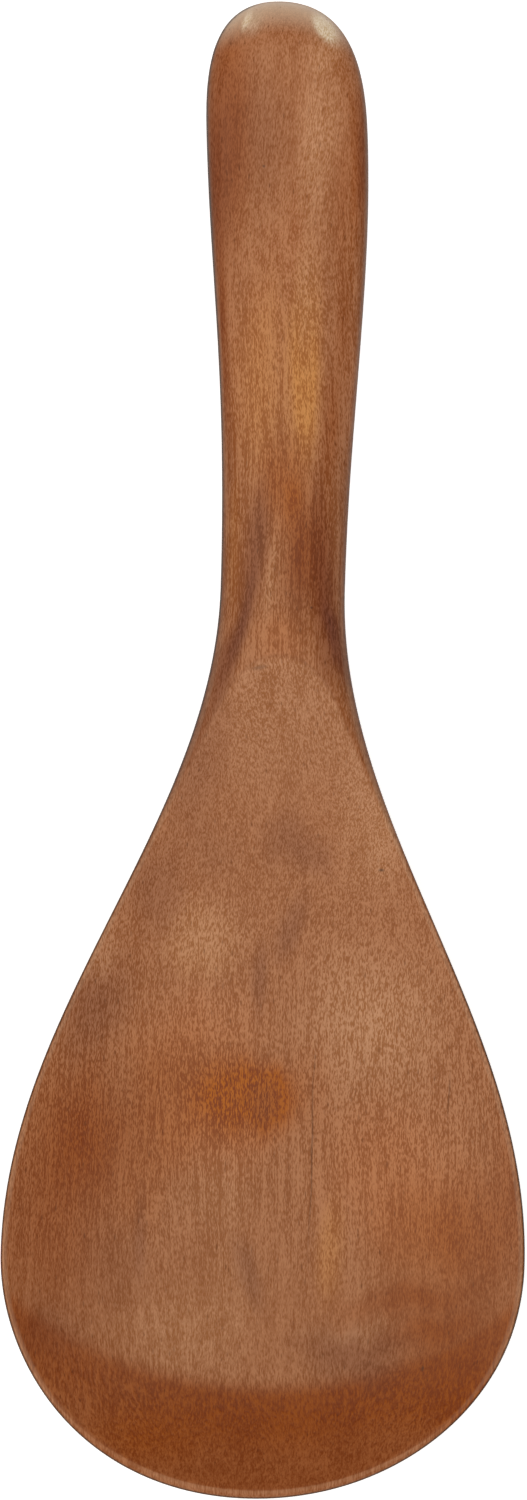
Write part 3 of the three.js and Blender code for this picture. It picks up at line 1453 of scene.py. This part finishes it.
        # Painted sheen on the hollow's ramp and painted shade along its crease.
        cut = self.hollow.ramp_sheen_share(bench, spot)
        crease = self.hollow.crease_shade_share(bench, spot)
        pore = self.pores.depth(bench, grain)
        colour = self.figured(bench, spot, places, cut)
        colour = bench.mix(1.0, colour, shade, "MULTIPLY")
        colour = bench.mix(raised, colour, shade, "MULTIPLY")
        colour = bench.mix(cut, colour, self.hollow.colour, "MULTIPLY")
        colour = bench.mix(crease, colour, self.shadow, "MULTIPLY")
        # Painted highlights on the handle's end, its right edge and the lip.
        colour = bench.mix(self.edge_highlights.share(bench, spot), colour, self.edge_highlights.colour)
        # Painted shade along the outline.
        colour = bench.mix(self.edge_shade.share(bench, spot), colour, self.edge_shade.colour, "MULTIPLY")
        colour = bench.mix(pore, colour, self.shadow, "MULTIPLY")
        bump = bench.add("ShaderNodeBump", {
            "Strength": self.relief,
            "Distance": self.relief_depth * MM,
            "Height": bench.math("SUBTRACT", tone, bench.product(pore, self.pores.sink)),
        })
        shader = bench.add("ShaderNodeBsdfPrincipled", {
            "Base Color": colour,
            "Roughness": self.roughness,
            "Specular IOR Level": self.shine,
            "Specular Tint": self.gloss,
            "Normal": bump.outputs["Normal"],
            "IOR": self.index,
        })
        bench.add("ShaderNodeOutputMaterial", {"Surface": shader.outputs["BSDF"]})
        return material


@dataclass(frozen=True)
class SoftBox:
    """A soft rectangular light that faces the spoon.

    Attributes:
        name: What it is called.
        place: Its middle, in metres.
        aim: The point that it faces, in metres.
        size: Width and length, in metres.
        glow: Brightness of its face, where a white sheet lit by it all round would be 1.
        colour: Linear colour of its light.
        fill_only: Whether it is kept out of what the finish mirrors.
        spread: How wide its light fans out, in degrees, where a grid on it narrows the fan.
    """

    name: str
    place: tuple[float, float, float]
    aim: tuple[float, float, float]
    size: tuple[float, float]
    glow: float
    colour: tuple[float, float, float] = (1.0, 1.0, 1.0)
    fill_only: bool = False
    spread: float = WIDE_OPEN

    @property
    def gathered(self) -> float:
        """How much less light a gridded box needs for the same brightness straight on."""
        half = math.radians(self.spread / 2)
        return 1.0 if self.spread >= WIDE_OPEN else 1.0 - half / math.tan(half)

    def hang(self) -> bpy.types.Object:
        """Puts the light in the scene.

        Returns:
            The light's object.
        """
        light = bpy.data.lights.new(self.name, "AREA")
        light.shape = "RECTANGLE"
        width, length = self.size
        light.size, light.size_y = width, length
        light.energy = self.glow * math.pi * width * length * self.gathered
        light.spread = math.radians(self.spread)
        light.color = self.colour
        lamp = bpy.data.objects.new(self.name, light)
        lamp.location = self.place
        lamp.rotation_euler = (Vector(self.aim) - Vector(self.place)).to_track_quat("-Z", "Y").to_euler()
        lamp.visible_camera = False
        lamp.visible_glossy = not self.fill_only
        bpy.context.scene.collection.objects.link(lamp)
        return lamp


OVERHEAD_BOX = SoftBox(
    "overhead_box",
    place=(-0.245, -0.01, 0.6),
    aim=(-0.245, -0.01, 0.0),
    size=(1.11, 0.82),
    glow=1.24,
    colour=(1.0, 0.935, 0.8),
)
END_STRIP = SoftBox(
    "end_strip",
    place=(0.0, 0.17, 0.06),
    aim=(0.0, 0.097, 0.006),
    size=(0.16, 0.06),
    glow=5.0,
    fill_only=True,
    spread=40.0,
)


@dataclass
class Studio:
    """Pale floor, soft light and the camera that looks straight down.

    The fades of the light from all round go by the direction that it comes from, from -1 to 1.

    Attributes:
        camera_height: From the picture's plane to the camera, in metres.
        plane_height: Height of the plane where the picture's scale is taken, in metres.
        picture_height: What the picture's height covers in that plane, in metres.
        aim: The point at the picture's centre, in metres.
        roll: How far the spoon leans clockwise in the picture, in degrees.
        sensor: Width and height of the camera's sensor, in millimetres.
        sight: The nearest and the furthest that the camera sees, in metres.
        floor_size: Half the floor's width, in metres.
        floor_gap: How far the floor lies below the spoon, in millimetres.
        floor_colour: Linear colour of the floor.
        floor_roughness: How dull the floor is.
        floor_glow: How bright the floor is by itself.
        white: Colour of that glow and of the light from all round.
        above: Light from above, from the bowl's side to the handle's.
        below: Light from below, from the bowl's side to the handle's.
        horizon: How the light from below gives way to that from above.
        ring_foot: How a pale ring above the horizon begins.
        ring_top: How bright that ring is, and how it ends.
        boxes: The lights.
    """

    camera_height: float = 2.5
    plane_height: float = 0.0096
    picture_height: float = 0.2002
    aim: tuple[float, float] = (-0.00192, -0.00015)
    roll: float = 1.722
    sensor: float = 36.0
    sight: tuple[float, float] = (0.01, 20.0)
    floor_size: float = 2.0
    floor_gap: float = 0.2
    floor_colour: tuple[float, ...] = (0.9, 0.9, 0.9, 1.0)
    floor_roughness: float = 0.9
    floor_glow: float = 0.7
    white: tuple[float, ...] = (1.0, 1.0, 1.0, 1.0)
    above: Fade = Fade(-0.5, 0.5, 0.5, 0.08)
    below: Fade = Fade(0.3, 0.8, 0.25, 1.2)
    horizon: Fade = Fade(-0.06, 0.06)
    ring_foot: Fade = Fade(-0.02, 0.06)
    ring_top: Fade = Fade(0.15, 0.35, 0.4, 0.0)
    boxes: tuple[SoftBox, ...] = (OVERHEAD_BOX, END_STRIP)

    def floor_finish(self) -> bpy.types.Material:
        """Makes the floor's material, which is clear from below.

        Returns:
            The material.
        """
        finish = bpy.data.materials.new("pale_floor")
        bench = NodeBench(finish)
        sheet = bench.add("ShaderNodeBsdfPrincipled", {
            "Base Color": self.floor_colour,
            "Roughness": self.floor_roughness,
            "Emission Color": self.white,
            "Emission Strength": self.floor_glow,
        })
        clear = bench.add("ShaderNodeBsdfTransparent", {})
        sides = bench.add("ShaderNodeMixShader", {
            0: bench.add("ShaderNodeNewGeometry", {}).outputs["Backfacing"],
            1: sheet.outputs["BSDF"],
            2: clear.outputs["BSDF"],
        })
        bench.add("ShaderNodeOutputMaterial", {"Surface": sides.outputs["Shader"]})
        return finish

    def floor(self) -> bpy.types.Object:
        """Lays the floor, a hair below the spoon and clear from below, so that the underside shows.

        Returns:
            The floor.
        """
        sheet = bmesh.new()
        bmesh.ops.create_grid(sheet, x_segments=1, y_segments=1, size=self.floor_size)
        bmesh.ops.translate(sheet, verts=sheet.verts, vec=(0.0, 0.0, -self.floor_gap * MM))
        mesh = bpy.data.meshes.new("studio_floor")
        sheet.to_mesh(mesh)
        sheet.free()
        mesh.materials.append(self.floor_finish())
        floor = bpy.data.objects.new("studio_floor", mesh)
        bpy.context.scene.collection.objects.link(floor)
        floor.visible_diffuse = False
        floor.visible_glossy = False
        return floor

    def surroundings(self) -> None:
        """Sets the light from all round, dimmer from above on the handle's side and brighter from below."""
        world = bpy.data.worlds.new("studio")
        bench = NodeBench(world)
        direction = bench.add("ShaderNodeTexCoord", {}).outputs["Generated"]
        axes = bench.add("ShaderNodeSeparateXYZ", {0: direction}).outputs
        below = bench.fade(axes["Y"], self.below)
        above = bench.fade(axes["Y"], self.above)
        glow = bench.between(bench.fade(axes["Z"], self.horizon), below, above)
        ring = bench.product(bench.fade(axes["Z"], self.ring_foot), bench.fade(axes["Z"], self.ring_top))
        strength = bench.math("ADD", glow, ring)
        background = bench.add("ShaderNodeBackground", {"Color": self.white, "Strength": strength})
        bench.add("ShaderNodeOutputWorld", {"Surface": background.outputs["Background"]})
        bpy.context.scene.world = world

    def camera(self) -> bpy.types.Object:
        """Hangs the camera over the spoon.

        Returns:
            The camera, set as the scene's.
        """
        lens = bpy.data.cameras.new("overhead_camera")
        lens.sensor_fit = "VERTICAL"
        lens.sensor_height = self.sensor
        lens.sensor_width = self.sensor
        lens.lens = self.sensor * self.camera_height / self.picture_height
        lens.clip_start, lens.clip_end = self.sight
        camera = bpy.data.objects.new("overhead_camera", lens)
        camera.location = (*self.aim, self.plane_height + self.camera_height)
        camera.rotation_euler = (0.0, 0.0, math.radians(self.roll))
        bpy.context.scene.collection.objects.link(camera)
        bpy.context.scene.camera = camera
        return camera

    def build(self) -> None:
        """Sets up the whole studio."""
        bpy.context.scene.view_settings.view_transform = "Standard"
        self.surroundings()
        self.floor()
        self.camera()
        for box in self.boxes:
            box.hang()
            log.info("light: %s", box.name)


def main() -> None:
    """Builds the studio and the spoon."""
    logging.basicConfig(level=logging.INFO, format="%(name)s: %(message)s")
    Studio().build()
    low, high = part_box(NODE)
    form = SpoonForm(length=(high.y - low.y) / MM, bowl_width=(high.x - low.x) / MM)
    spoon = Spoon(form)
    spoon.dress(spoon.build(), OiledWood())


if __name__ == "__main__":
    main()
